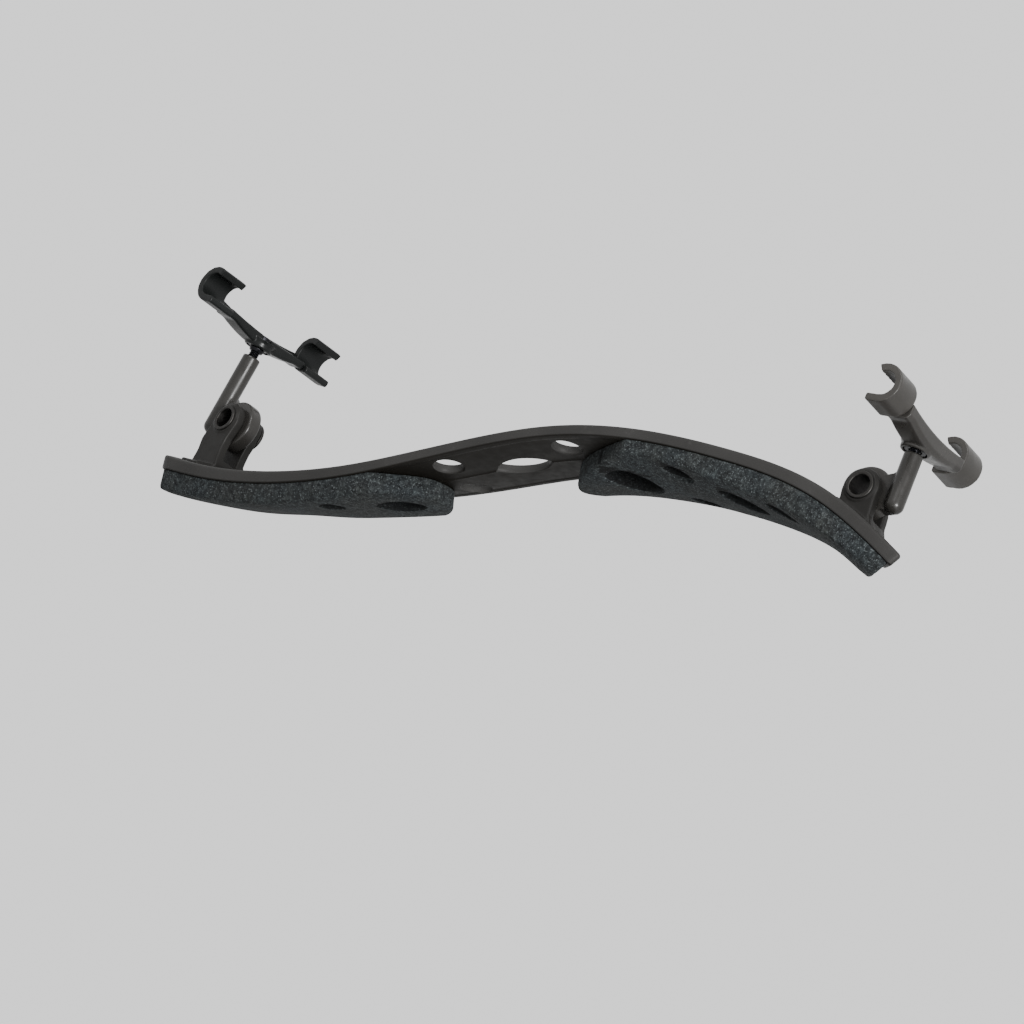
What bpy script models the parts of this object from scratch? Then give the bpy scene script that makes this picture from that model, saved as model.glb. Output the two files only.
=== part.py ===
"""Violin shoulder rest, built as an assembly of separate named pieces.

Frame: X runs along the rest, from the chest end (-X) to the shoulder end (+X).
Y runs across it, from the neck side (-Y) to the chin side (+Y). Z is up, from
the pads towards the violin's back. Design values are in millimetres; the
meshes are written in metres. The design origin is midway between the two feet
in the plane on which the edge of the violin's back rests, and ORIGIN moves it
to the middle of the model's base.
"""
import bpy, bmesh, math
import numpy as np
from mathutils import Matrix, Vector

for ob in list(bpy.data.objects):
    bpy.data.objects.remove(ob, do_unlink=True)

MM = 0.001
ORIGIN = (4.816, 0.876, -47.824)          # design point that becomes the model's origin

# ---- base plate: a curved, twisted strip with a raised rim --------------------
X_CHEST, X_SHOULDER = -107.0, 114.5   # near-side corners of the plate
X_MID = 4.0                           # middle of the crescent in plan
Y_MID, SAGITTA, HALF_RUN = -7.0, 10.0, 110.0
Z_STATIONS = [(-112, -36.8), (-85, -39.4), (-60, -38.9), (-35, -35.7), (-10, -29.1),
              (15, -21.9), (40, -18.8), (65, -19.6), (90, -24.2), (120, -40.0)]
TILT_STATIONS = [(-112, 15.5), (-60, 20.0), (-20, 10.5), (20, 5.7), (70, 5.0), (120, -2.8)]
WIDTH_STATIONS = [(-112, 24.8), (-60, 24.5), (-20, 25.4), (20, 25.3), (70, 24.7), (120, 24.8)]
WEB = 1.9                             # thickness of the plate between its rims
RIM_W, RIM_MID, RIM_END = 2.0, 2.5, 3.2   # rim width, rim height at middle and ends
CROWN = 0.9                           # how far the underside bulges at its middle
END_SLANT = 0.62                      # shoulder end: far side is shorter by this per mm of width
CHEST_SLANT = 0.05
CHEST_CORNER, NEAR_CORNER, FAR_CORNER = 8.0, 1.8, 5.0   # rounding lengths of the plate's corners
LEAF_X, LEAF_L, LEAF_W = 3.0, 15.0, 7.6
HOLE_R = 3.5
HOLES = [(-12.9, -6.6), (18.4, -6.2), (-15.5, 7.8)]

# ---- pads -----------------------------------------------------------------------
PAD_GAP = 0.3
CHEST_PAD_T, SHOULDER_PAD_T, SHOULDER_PAD_TIP = 4.5, 5.2, 3.7
# inner ends of the pads: (v across the strip, x), rounded back on the far side by the last numbers
CHEST_PAD_IN = [(-1.0, -31.4), (-0.94, -30.4), (-0.63, -25.2), (-0.41, -21.9), (0.14, -18.2), (0.6, -16.4), (1.0, -15.6)]
SHOULDER_PAD_IN = [(-1.0, 38.8), (-0.95, 37.8), (-0.46, 27.3), (0.13, 16.6), (0.47, 11.8), (1.0, 8.6)]
CHEST_NOSE, SHOULDER_NOSE = (0.15, 12.0), (0.45, 12.0)
PAD_INSET = 0.6

# ---- legs, brackets, feet ---------------------------------------------------------
TUBE_OFFSET = 7.9                     # leg tube's axis from the tilt axis, outboard
TUBE_R, BORE_R = 2.2, 1.36
TUBE_BELOW = 4.0
TUBE_FWD = 1.1                        # tube's axis in front of the knuckle's middle
KNUCKLE_R, KNUCKLE_W, KNUCKLE_BORE = 6.0, 3.6, 3.0
EAR_T, GAP_W = 2.4, 4.2
EAR_BORE = 3.1
SLEEVE_R, SLEEVE_IN = 2.9, 2.45
FLANGE_R, FLANGE_T = 3.7, 0.6
SCREW_R, SCREW_HEAD_R, SCREW_HEAD_H = 1.25, 2.1, 1.3
BOSS_BELOW = 4.4                      # boss's underside below the seat plane
BAR_HALF, GRIP_L = 13.2, 7.8
GRIP_GAP = 0.3
HOOK_R, HOOK_IN, HOOK_C = 4.6, 2.9, (0.2, 1.9)
YAW = 8.0
FLANGE_REACH, SCREW_V = 8.3, 6.6      # bracket's flanges and screws from its middle, across the strip

SIDES = {
    # pivot, outboard sign, lean inboard, tube top above pivot, foot's turn, neck, screw length
    "chest": dict(p=(-96.9, 1.1, -24.2), s=-1, lean=8.0, top=17.4, neck=2.4, bar=6.2, screw=15.0,
                  base=(-4.6, 4.2, -20.0), blean=8.0, slot=-9.4),
    "shoulder": dict(p=(94.3, 1.1, -16.5), s=1, lean=2.5, top=10.5, neck=0.6, bar=-6.5, screw=12.0,
                     base=(-4.6, 6.6, -15.5), blean=0.0, slot=-6.3),
}


def material(name, rgb, rough, metal=0.0):
    m = bpy.data.materials.new(name)
    m.use_nodes = True
    b = m.node_tree.nodes["Principled BSDF"]
    b.inputs["Base Color"].default_value = (*rgb, 1)
    b.inputs["Roughness"].default_value = rough
    b.inputs["Metallic"].default_value = metal
    return m


def link(name, bm, mat, cutter=False):
    bmesh.ops.recalc_face_normals(bm, faces=bm.faces[:])
    me = bpy.data.meshes.new(name)
    bm.to_mesh(me)
    bm.free()
    me.materials.append(mat)
    ob = bpy.data.objects.new(name, me)
    bpy.context.scene.collection.objects.link(ob)
    if cutter:
        ob.hide_render = True
        ob.display_type = 'WIRE'
    else:
        me.shade_smooth()
        me.set_sharp_from_angle(angle=math.radians(35))
    return ob


def cut(ob, cutter, op='DIFFERENCE'):
    m = ob.modifiers.new("cut_" + cutter.name, 'BOOLEAN')
    m.operation = op
    m.solver = 'EXACT'
    m.object = cutter


def interp(stations, x):
    """Natural cubic through the stations, evaluated at x."""
    xs = np.array([s[0] for s in stations], float)
    ys = np.array([s[1] for s in stations], float)
    n = len(xs)
    h = np.diff(xs)
    A = np.eye(n)
    r = np.zeros(n)
    for i in range(1, n - 1):
        A[i, i - 1], A[i, i], A[i, i + 1] = h[i - 1], 2 * (h[i - 1] + h[i]), h[i]
        r[i] = 6 * ((ys[i + 1] - ys[i]) / h[i] - (ys[i] - ys[i - 1]) / h[i - 1])
    M = np.linalg.solve(A, r)
    i = int(np.clip(np.searchsorted(xs, x) - 1, 0, n - 2))
    a, b = xs[i + 1] - x, x - xs[i]
    y = (M[i] * a ** 3 + M[i + 1] * b ** 3) / (6 * h[i]) + (ys[i] / h[i] - M[i] * h[i] / 6) * a \
        + (ys[i + 1] / h[i] - M[i + 1] * h[i] / 6) * b
    return float(y)


def strip_frame(x):
    """Centre, across direction and upward normal of the strip at station x."""
    e = 0.5
    def c(q):
        return np.array([q, Y_MID + SAGITTA * ((q - X_MID) / HALF_RUN) ** 2, interp(Z_STATIONS, q)])
    T = c(x + e) - c(x - e)
    T /= np.linalg.norm(T)
    k = np.array([-T[1], T[0], 0.0])
    k /= np.linalg.norm(k)
    up = np.cross(T, k)
    t = math.radians(interp(TILT_STATIONS, x))
    k2 = k * math.cos(t) + up * math.sin(t)
    n = np.cross(T, k2)
    return c(x), k2, n / np.linalg.norm(n)


def strip(x, v, w):
    """Point on the strip: v from -1 (near edge) to 1 (far edge), w above the underside's edge."""
    C, k, n = strip_frame(x)
    W = interp(WIDTH_STATIONS, x)
    return C + k * (v * W / 2) + n * (w - CROWN * (1 - v * v))


def rounded(v, corner_mm, half):
    """Distance an end outline draws back near its two corners."""
    q = max(0.0, abs(v) * half - (half - corner_mm)) / corner_mm
    return corner_mm * (1 - math.sqrt(max(0.0, 1 - min(q, 1.0) ** 2)))


def sheet(name, mat, x_lo, x_hi, vs, low, high, n):
    """Closed solid between two heights over the strip: x_lo(v) to x_hi(v), low(x, v) to high(x, v)."""
    bm = bmesh.new()
    us = n if isinstance(n, list) else [i / n for i in range(n + 1)]
    rows = []
    for u in us:
        lo, hi = [], []
        for v in vs:
            x = x_lo(v) + u * (x_hi(v) - x_lo(v))
            lo.append(bm.verts.new(Vector(strip(x, v, low(x, v, u))) * MM))
            hi.append(bm.verts.new(Vector(strip(x, v, high(x, v, u))) * MM))
        rows.append((lo, hi))
    for i in range(len(us) - 1):
        (l0, h0), (l1, h1) = rows[i], rows[i + 1]
        for j in range(len(vs) - 1):
            bm.faces.new((l0[j], l0[j + 1], l1[j + 1], l1[j]))
            bm.faces.new((h0[j], h1[j], h1[j + 1], h0[j + 1]))
        for j in (0, -1):
            bm.faces.new((l0[j], l1[j], h1[j], h0[j]))
    for r in (rows[0], rows[-1]):
        for j in range(len(vs) - 1):
            bm.faces.new((r[0][j], r[1][j], r[1][j + 1], r[0][j + 1]))
    return link(name, bm, mat)


def slab(name, xr, vr2, w0, w1, nx, nv):
    """Cutter that follows the plate's top side, between two heights over it."""
    bm = bmesh.new()
    xs = [xr[0] + (xr[1] - xr[0]) * i / nx for i in range(nx + 1)]
    vs = [vr2[0] + (vr2[1] - vr2[0]) * j / nv for j in range(nv + 1)]
    g = [[[bm.verts.new(Vector(strip(x, v, w + CROWN * (1 - v * v) * 0.35)) * MM) for v in vs] for x in xs]
         for w in (w0, w1)]
    for q in g:
        for i in range(nx):
            for j in range(nv):
                bm.faces.new((q[i][j], q[i + 1][j], q[i + 1][j + 1], q[i][j + 1]))
    for i in range(nx):
        for j in (0, nv):
            bm.faces.new((g[0][i][j], g[0][i + 1][j], g[1][i + 1][j], g[1][i][j]))
    for j in range(nv):
        for i in (0, nx):
            bm.faces.new((g[0][i][j], g[0][i][j + 1], g[1][i][j + 1], g[1][i][j]))
    return link(name, bm, BRACKET, cutter=True)


def prism(name, mat, pts, y0, y1, M, cutter=False):
    """Outline pts in the local XZ plane, extruded along local Y from y0 to y1."""
    bm = bmesh.new()
    a = [bm.verts.new(M @ (Vector((p[0], y0, p[1])) * MM)) for p in pts]
    b = [bm.verts.new(M @ (Vector((p[0], y1, p[1])) * MM)) for p in pts]
    bm.faces.new(a)
    bm.faces.new(b)
    for i in range(len(pts)):
        j = (i + 1) % len(pts)
        bm.faces.new((a[i], a[j], b[j], b[i]))
    return link(name, bm, mat, cutter)


def turned(name, mat, prof, M, n=28, axis='Z', cutter=False):
    """Profile (r, h) turned about the local axis; closed at r = 0 where it starts or ends there."""
    bm = bmesh.new()
    rings = []
    for r, h in prof:
        if r <= 1e-9:
            p = Vector((0, 0, h)) if axis == 'Z' else Vector((0, h, 0))
            rings.append([bm.verts.new(M @ (p * MM))])
        else:
            ring = []
            for i in range(n):
                t = 2 * math.pi * i / n
                p = Vector((r * math.cos(t), r * math.sin(t), h)) if axis == 'Z' else \
                    Vector((r * math.cos(t), h, r * math.sin(t)))
                ring.append(bm.verts.new(M @ (p * MM)))
            rings.append(ring)
    def bridge(A, B):
        for i in range(n):
            j = (i + 1) % n
            if len(A) == 1 and len(B) > 1:
                bm.faces.new((A[0], B[i], B[j]))
            elif len(B) == 1 and len(A) > 1:
                bm.faces.new((A[i], A[j], B[0]))
            elif len(A) > 1:
                bm.faces.new((A[i], A[j], B[j], B[i]))
    for A, B in zip(rings, rings[1:]):
        bridge(A, B)
    if len(rings[0]) > 1 and len(rings[-1]) > 1:
        bridge(rings[-1], rings[0])
    return link(name, bm, mat, cutter)


def ring(name, mat, r_in, r_out, h0, h1, M, n=28, axis='Z'):
    return turned(name, mat, [(r_in, h0), (r_out, h0), (r_out, h1), (r_in, h1)], M, n, axis)


def rod(name, mat, r, h0, h1, M, n=24, axis='Z', cutter=False):
    return turned(name, mat, [(0, h0), (r, h0), (r, h1), (0, h1)], M, n, axis, cutter)


def arc(cx, cy, r, a0, a1, n):
    return [(cx + r * math.cos(math.radians(a0 + (a1 - a0) * i / n)),
             cy + r * math.sin(math.radians(a0 + (a1 - a0) * i / n))) for i in range(n + 1)]


PLASTIC = material("base_plastic", (0.045, 0.043, 0.042), 0.45)
FOAM = material("foam", (0.07, 0.085, 0.095), 0.95)
BRACKET = material("bracket_plastic", (0.05, 0.048, 0.046), 0.42)
LEG = material("leg_plastic", (0.06, 0.058, 0.055), 0.38)
RUBBER = material("rubber", (0.04, 0.042, 0.044), 0.6)
STEEL = material("black_steel", (0.06, 0.06, 0.065), 0.35, 1.0)
SLEEVE = material("sleeve_metal", (0.05, 0.05, 0.052), 0.4, 1.0)
PLATED = material("plated_steel", (0.5, 0.5, 0.5), 0.3, 1.0)

# ---------------------------------------------------------------------------------
# base plate
# ---------------------------------------------------------------------------------
HALF = 12.25


def end_hi(v, inset=0.0):
    return X_SHOULDER - inset - END_SLANT * (v + 1) * HALF - rounded(v, FAR_CORNER if v > 0 else NEAR_CORNER, HALF)


def end_lo(v, inset=0.0):
    return X_CHEST + inset + CHEST_SLANT * (v + 1) * HALF + rounded(v, CHEST_CORNER, HALF)


def rim_height(x):
    return RIM_MID + (RIM_END - RIM_MID) * min(1.0, abs(x - X_MID) / 100) ** 1.5


vr = 1 - RIM_W / HALF
step = 0.02
VS = [-1, -0.94, -vr - 0.005, -vr + step, -0.62, -0.4, -0.2, 0, 0.2, 0.4, 0.62, vr - step, vr + 0.005, 0.94, 1]
ur = RIM_W / 205
US = [0, ur, ur + 0.001] + [ur + 0.001 + (1 - 2 * ur - 0.002) * i / 40 for i in range(1, 40)] + [1 - ur - 0.001, 1 - ur, 1]


def base_top(x, v, u):
    edge = abs(v) >= vr or u <= ur + 1e-9 or u >= 1 - ur - 1e-9
    h = rim_height(x) + CROWN * (1 - v * v)
    return h if edge else WEB + CROWN * (1 - v * v) * 0.35


base = sheet("base_plate", PLASTIC, end_lo, end_hi, VS, lambda x, v, u: 0.0, base_top, US)


def surface_matrix(x, v_mm, w=0.0):
    """Local frame on the strip: Z along its normal, X along the strip."""
    C, k, n = strip_frame(x)
    W = interp(WIDTH_STATIONS, x)
    p = Vector(strip(x, v_mm / (W / 2), w)) * MM
    t = np.cross(k, n)
    return Matrix(((t[0], k[0], n[0], p.x), (t[1], k[1], n[1], p.y), (t[2], k[2], n[2], p.z), (0, 0, 0, 1)))


def cut_prism(name, pts, M, z0=-9.0, z1=9.0):
    """Cutter: outline in local XY, from z0 to z1 along local Z."""
    R = M @ Matrix(((1, 0, 0, 0), (0, 0, 1, 0), (0, 1, 0, 0), (0, 0, 0, 1)))
    return prism(name, PLASTIC, pts, z0, z1, R, cutter=True)


def leaf(length, width, n=8):
    """Pointed leaf outline made of two arcs."""
    a, b = length / 2, width / 2
    R = (a * a + b * b) / (2 * b)
    h = math.degrees(math.asin(a / R))
    return arc(0, b - R, R, 90 + h, 90 - h, n)[:-1] + arc(0, R - b, R, -90 + h, -90 - h, n)[:-1]


c = cut_prism("leaf_cutter", leaf(LEAF_L, LEAF_W), surface_matrix(LEAF_X, 0.0))
cut(base, c)
for i, (hx, hv) in enumerate(HOLES):
    c = cut_prism("round_cutter_%d" % (i + 1), arc(0, 0, HOLE_R, 0, 345, 23), surface_matrix(hx, hv))
    cut(base, c)

# ---------------------------------------------------------------------------------
# pads: plain closed solids under the two ends of the plate
# ---------------------------------------------------------------------------------
PVS = [-1, -0.93, -0.7, -0.35, 0, 0.3, 0.55, 0.75, 0.9, 1]
PVS = [v * (1 - PAD_INSET / HALF) for v in PVS]


def pad_in(line, nose, v, sign):
    """Inner end of a pad: a line across the strip that turns back round a nose on the far side."""
    q = min(1.0, max(0.0, (v - nose[0]) / (1 - nose[0])))
    return interp(line, v) - sign * nose[1] * (1 - math.sqrt(1 - q * q)) - (sign * rounded(v, 1.5, HALF) if v < 0 else 0.0)


def chest_low(x, v, u):
    return -PAD_GAP - CHEST_PAD_T * (1 - 0.12 * max(0.0, abs(v) - 0.8) / 0.2)


def shoulder_low(x, v, u):
    t = SHOULDER_PAD_T + (SHOULDER_PAD_TIP - SHOULDER_PAD_T) * min(1.0, max(0.0, (x - 60) / 55))
    return -PAD_GAP - t * (1 - 0.12 * max(0.0, abs(v) - 0.8) / 0.2)


sheet("chest_pad", FOAM, lambda v: end_lo(v, inset=1.2), lambda v: pad_in(CHEST_PAD_IN, CHEST_NOSE, v, 1), PVS,
      chest_low, lambda x, v, u: -PAD_GAP, 18)
sheet("shoulder_pad", FOAM, lambda v: pad_in(SHOULDER_PAD_IN, SHOULDER_NOSE, v, -1), lambda v: end_hi(v, inset=1.2), PVS,
      shoulder_low, lambda x, v, u: -PAD_GAP, 24)


# ---------------------------------------------------------------------------------
# brackets, legs and feet, one set per side
# ---------------------------------------------------------------------------------
def side_matrix(sd, lean):
    """Local frame at the tilt axis: X outboard, Z up along the leg, Y along the axis."""
    s = sd["s"]
    y = math.radians(YAW)
    o0 = Vector((s * math.cos(y), math.sin(y), 0))
    z = Vector((0, 0, 1))
    l = math.radians(lean)
    u = z * math.cos(l) - o0 * math.sin(l)
    o = o0 * math.cos(l) + z * math.sin(l)
    a = u.cross(o)
    p = Vector(sd["p"]) * MM
    return Matrix(((o.x, a.x, u.x, p.x), (o.y, a.y, u.y, p.y), (o.z, a.z, u.z, p.z), (0, 0, 0, 1)))


def empty(name, M):
    e = bpy.data.objects.new(name, None)
    bpy.context.scene.collection.objects.link(e)
    e.matrix_world = M
    return e


def hang(ob, e, M):
    """Keep the piece where it is, with its origin on the empty's axis."""
    ob.data.transform(M.inverted())
    ob.parent = e
    ob.matrix_parent_inverse = Matrix.Identity(4)
    ob.matrix_basis = Matrix.Identity(4)


for side, sd in SIDES.items():
    f = 1.0 if sd["s"] < 0 else -1.0          # local Y of the neck side
    MB = side_matrix(sd, sd["blean"])
    ML = side_matrix(sd, sd["lean"])
    lo, hi, dn = sd["base"]
    half_d = EAR_T + GAP_W / 2

    # bracket: two ears on a foot with a flange before and behind them, trimmed to the plate's surface
    outline = arc(0, 0, 4.35, 0, 180, 12) + [(lo, -5.0), (lo - 0.6, dn), (hi, dn), (hi, -9.2), (5.0, -6.2)]
    br = prism(side + "_bracket", BRACKET, outline, -half_d, half_d, MB)
    px = sd["p"][0]
    vm = (sd["p"][1] - strip_frame(px)[0][1]) / HALF          # bracket's middle across the strip
    fl = slab(side + "_flange", (px - 3.2, px + 3.2), (vm - FLANGE_REACH / HALF, vm + FLANGE_REACH / HALF),
              -3.0, WEB + 2.2, 4, 6)
    cut(br, fl, 'UNION')
    cut(br, prism(side + "_slot_cutter", BRACKET, [(-12, 9), (-12, sd["slot"]), (14, sd["slot"]), (14, 9)],
                  -GAP_W / 2, GAP_W / 2, MB, cutter=True))
    cut(br, rod(side + "_bore_cutter", BRACKET, EAR_BORE, -half_d - 1, half_d + 1, MB, axis='Y', cutter=True))
    cut(br, slab(side + "_seat_cutter", (px - 16, px + 16), (-0.97, 0.97), -14.0, WEB + 0.3, 10, 8))

    # two screws from the pad side, through the plate into the bracket's flanges
    for i, dv in enumerate((-SCREW_V, SCREW_V)):
        MS = surface_matrix(px, vm * HALF + dv)
        rod_c = turned("%s_screw_cutter_%d" % (side, i + 1), PLASTIC,
                       [(0, -3), (1.9, -3), (1.9, 1.0), (1.15, 1.0), (1.15, 9), (0, 9)], MS, 20, cutter=True)
        cut(base, rod_c)
        cut(br, rod_c)
        turned("%s_bracket_screw_%d" % (side, i + 1), PLATED,
               [(0, 0.15), (1.6, 0.15), (1.6, 0.72), (0.9, 0.72), (0.9, 4.3), (0, 4.3)], MS, 20)

    # hollow pivot sleeve with its flange on the neck side, and the collar that closes it
    h0, h1 = half_d + 0.3, half_d + 0.3 + FLANGE_T
    turned(side + "_pivot_sleeve", SLEEVE,
           [(SLEEVE_IN, f * h1), (FLANGE_R, f * h1), (FLANGE_R, f * h0), (SLEEVE_R, f * h0),
            (SLEEVE_R, -f * (h1 + 0.2)), (SLEEVE_IN, -f * (h1 + 0.2))], MB, 32, 'Y')
    turned(side + "_pivot_collar", SLEEVE,
           [(SLEEVE_R + 0.2, -f * h0), (FLANGE_R + 0.1, -f * h0), (FLANGE_R + 0.1, -f * h1), (SLEEVE_R + 0.2, -f * h1)],
           MB, 32, 'Y')

    # leg: knuckle between the ears and a tube beside it
    eL = empty(side + "_tilt_axis", ML)
    leg = ring(side + "_leg", LEG, KNUCKLE_BORE, KNUCKLE_R, -KNUCKLE_W / 2, KNUCKLE_W / 2, ML, 36, 'Y')
    top = sd["top"]
    web = prism(side + "_leg_web", LEG, [(3.6, 3.9), (3.9, -2.2), (7.9, -2.6), (7.9, 6.4), (6.2, 5.6), (4.6, 4.4)],
                -KNUCKLE_W / 2 + 0.05, KNUCKLE_W / 2 - 0.05, ML, cutter=True)
    cut(leg, web, 'UNION')
    MT = ML @ Matrix.Translation(Vector((TUBE_OFFSET, f * TUBE_FWD, 0)) * MM)
    dome = [(TUBE_R * math.sin(math.radians(a)), -TUBE_BELOW + TUBE_R * 0.8 * (1 - math.cos(math.radians(a))))
            for a in (0, 22, 45, 68, 90)]
    tube = turned(side + "_leg_tube", LEG, dome + [(TUBE_R, top - 0.3), (TUBE_R - 0.3, top), (0, top)], MT, 28, cutter=True)
    cut(leg, tube, 'UNION')
    depth = sd["screw"] + 0.8
    cut(leg, rod(side + "_leg_bore", LEG, BORE_R, max(top - depth, -1.8), top + 2, MT, 24, cutter=True))
    hang(leg, eL, ML)

    # foot: turns on the tube's axis; local X inboard, Y along the bar, Z up, z = 0 at the seat
    seat = top + sd["neck"] + BOSS_BELOW
    bar = math.radians(sd["bar"])
    up = ML.to_3x3() @ Vector((0, 0, 1))
    d = Vector((math.sin(bar), math.cos(bar), 0))
    d = (d - up * d.dot(up)).normalized()
    inb = d.cross(up)
    if inb.x * sd["s"] > 0:
        d = -d
        inb = d.cross(up)
    o = MT @ (Vector((0, 0, seat)) * MM)
    MF = Matrix(((inb.x, d.x, up.x, o.x), (inb.y, d.y, up.y, o.y), (inb.z, d.z, up.z, o.z), (0, 0, 0, 1)))
    eF = empty(side + "_foot_axis", MF)
    eF.parent = eL
    eF.matrix_parent_inverse = eL.matrix_world.inverted()

    # bar, bowed so that its middle hangs low, with a low wall along its outer side
    def section(b):
        low = -2.35 - 1.55 * max(0.0, 1 - (b / 11.0) ** 2)
        top = -0.35 - 0.6 * max(0.0, 1 - (b / 12.5) ** 2)
        wall = 0.0 + 1.1 * (b / BAR_HALF) ** 2
        return [(1.9, low + 0.2), (1.6, low), (-3.5, low), (-4.3, low + 0.8), (-4.3, wall), (-3.4, wall), (-2.9, top), (1.9, top)]
    bm = bmesh.new()
    rings = []
    for i in range(17):
        b = -BAR_HALF + 2 * BAR_HALF * i / 16
        rings.append([bm.verts.new(MF @ (Vector((q[0], b, q[1])) * MM)) for q in section(b)])
    for A, B in zip(rings, rings[1:]):
        for i in range(len(A)):
            bm.faces.new((A[i], A[(i + 1) % len(A)], B[(i + 1) % len(A)], B[i]))
    bm.faces.new(rings[0])
    bm.faces.new(rings[-1])
    fork = link(side + "_foot_fork", bm, BRACKET)
    boss = turned(side + "_boss", BRACKET, [(0, -BOSS_BELOW), (3.2, -BOSS_BELOW), (3.6, -BOSS_BELOW + 0.4), (3.6, -2.2), (0, -2.2)],
                  MF, 28, cutter=True)
    cut(fork, boss, 'UNION')
    bore = turned(side + "_foot_bore", BRACKET,
                  [(0, -6), (2.9, -6), (2.9, -BOSS_BELOW + 1.1), (SCREW_R + 0.3, -BOSS_BELOW + 1.1), (SCREW_R + 0.3, -2.65),
                   (SCREW_HEAD_R + 0.3, -2.65), (SCREW_HEAD_R + 0.3, 3), (0, 3)], MF, 28, cutter=True)
    cut(fork, bore)
    for k in (-1, 1):
        peg = rod("%s_peg_%d" % (side, k), BRACKET, 0.5, k * (BAR_HALF - 1.0), k * (BAR_HALF + 4.2),
                  MF @ Matrix.Translation(Vector((-2.15, 0, -1.35)) * MM), 16, 'Y', cutter=True)
        cut(fork, peg, 'UNION')
    hang(fork, eF, MF)

    # rubber hooks that hold the violin's edge
    cx, cz = HOOK_C
    outer = arc(cx, cz, HOOK_R, 62, 270, 20)
    inner = arc(cx, cz, HOOK_IN, 270, 62, 16)
    lip = [(2.9, cz - HOOK_R), (3.3, cz - HOOK_R + 0.5), (3.3, cz - HOOK_IN - 0.5), (2.9, cz - HOOK_IN)]
    prof = outer + lip + inner
    for nm, k in (("neck", -1), ("chin", 1)):
        k2 = k * (1 if d.y > 0 else -1)
        y0 = k2 * (BAR_HALF + GRIP_GAP)
        y1 = k2 * (BAR_HALF + GRIP_GAP + GRIP_L)
        grip = prism("%s_grip_%s" % (side, nm), RUBBER, prof, y0, y1, MF)
        pk = rod("%s_grip_bore_%s" % (side, nm), RUBBER, 0.65, k2 * (BAR_HALF - 1), k2 * (BAR_HALF + 4.6),
                 MF @ Matrix.Translation(Vector((-2.15, 0, -1.35)) * MM), 16, 'Y', cutter=True)
        cut(grip, pk)
        hang(grip, eF, MF)

    # height screw, fixed in the foot, and the washer that it rides on
    z0 = -2.35
    scr = turned(side + "_height_screw", STEEL,
                 [(0, z0 - sd["screw"] - 0.0), (SCREW_R - 0.35, z0 - sd["screw"]), (SCREW_R, z0 - sd["screw"] + 0.4),
                  (SCREW_R, z0), (SCREW_HEAD_R, z0), (SCREW_HEAD_R, z0 + SCREW_HEAD_H - 0.3),
                  (SCREW_HEAD_R - 0.3, z0 + SCREW_HEAD_H), (0, z0 + SCREW_HEAD_H)], MF, 28)
    hang(scr, eF, MF)
    wsh = ring(side + "_foot_washer", PLATED, SCREW_R + 0.3, 2.6, -BOSS_BELOW + 0.2, -BOSS_BELOW + 0.8, MF, 28)
    hang(wsh, eL, ML)

# move the design's origin to the middle of the model's base
shift = Matrix.Translation(-Vector(ORIGIN) * MM)
for ob in bpy.context.scene.objects:
    if ob.parent is None:
        ob.matrix_world = shift @ ob.matrix_world
bpy.context.view_layer.update()
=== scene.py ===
"""Violin shoulder rest: the visual model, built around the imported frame.
Design values are millimetres in the design frame; ORIGIN moves them to the row frame."""
import bpy, bmesh, math
import numpy as np
from mathutils import Matrix, Vector

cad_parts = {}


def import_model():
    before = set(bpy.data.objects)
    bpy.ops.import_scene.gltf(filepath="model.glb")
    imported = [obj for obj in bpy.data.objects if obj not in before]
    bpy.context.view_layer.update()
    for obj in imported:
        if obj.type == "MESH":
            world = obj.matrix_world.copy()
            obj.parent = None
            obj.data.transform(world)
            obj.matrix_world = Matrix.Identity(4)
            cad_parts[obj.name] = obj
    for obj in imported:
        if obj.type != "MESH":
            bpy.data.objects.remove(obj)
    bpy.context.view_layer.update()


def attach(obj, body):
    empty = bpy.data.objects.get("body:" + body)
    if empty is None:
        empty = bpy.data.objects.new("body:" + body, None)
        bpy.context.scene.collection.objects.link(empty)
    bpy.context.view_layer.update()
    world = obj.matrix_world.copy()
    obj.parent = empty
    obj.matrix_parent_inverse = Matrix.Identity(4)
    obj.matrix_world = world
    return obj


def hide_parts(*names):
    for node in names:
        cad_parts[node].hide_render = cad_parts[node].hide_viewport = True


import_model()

MM = 0.001
ORIGIN = (4.816, 0.876, -47.824)
SHIFT = Matrix.Translation(-Vector(ORIGIN) * MM)
COL = bpy.context.scene.collection

# ---- driving dimensions, as in the part's source ------------------------------------
X_CHEST, X_SHOULDER, X_MID = -107.0, 114.5, 4.0
Y_MID, SAGITTA, HALF_RUN = -7.0, 10.0, 110.0
Z_STATIONS = [(-112, -36.8), (-85, -39.4), (-60, -38.9), (-35, -35.7), (-10, -29.1),
              (15, -21.9), (40, -18.8), (65, -19.6), (90, -24.2), (120, -40.0)]
TILT_STATIONS = [(-112, 15.5), (-60, 20.0), (-20, 10.5), (20, 5.7), (70, 5.0), (120, -2.8)]
WIDTH_STATIONS = [(-112, 24.8), (-60, 24.5), (-20, 25.4), (20, 25.3), (70, 24.7), (120, 24.8)]
WEB, RIM_W, RIM_MID, RIM_END, CROWN = 1.9, 2.0, 2.5, 3.2, 0.9
END_SLANT, CHEST_SLANT = 0.62, 0.05
CHEST_CORNER, NEAR_CORNER, FAR_CORNER, HALF = 8.0, 1.8, 5.0, 12.25
PAD_GAP, CHEST_PAD_T, SHOULDER_PAD_T, SHOULDER_PAD_TIP = 0.3, 4.5, 5.2, 3.7
TUBE_OFFSET, TUBE_R, BORE_R, TUBE_BELOW, TUBE_FWD = 7.9, 2.2, 1.36, 4.0, 1.1
KNUCKLE_R, KNUCKLE_W, KNUCKLE_BORE, EAR_T, GAP_W, EAR_BORE = 6.15, 3.8, 3.0, 2.4, 4.2, 3.1
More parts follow.
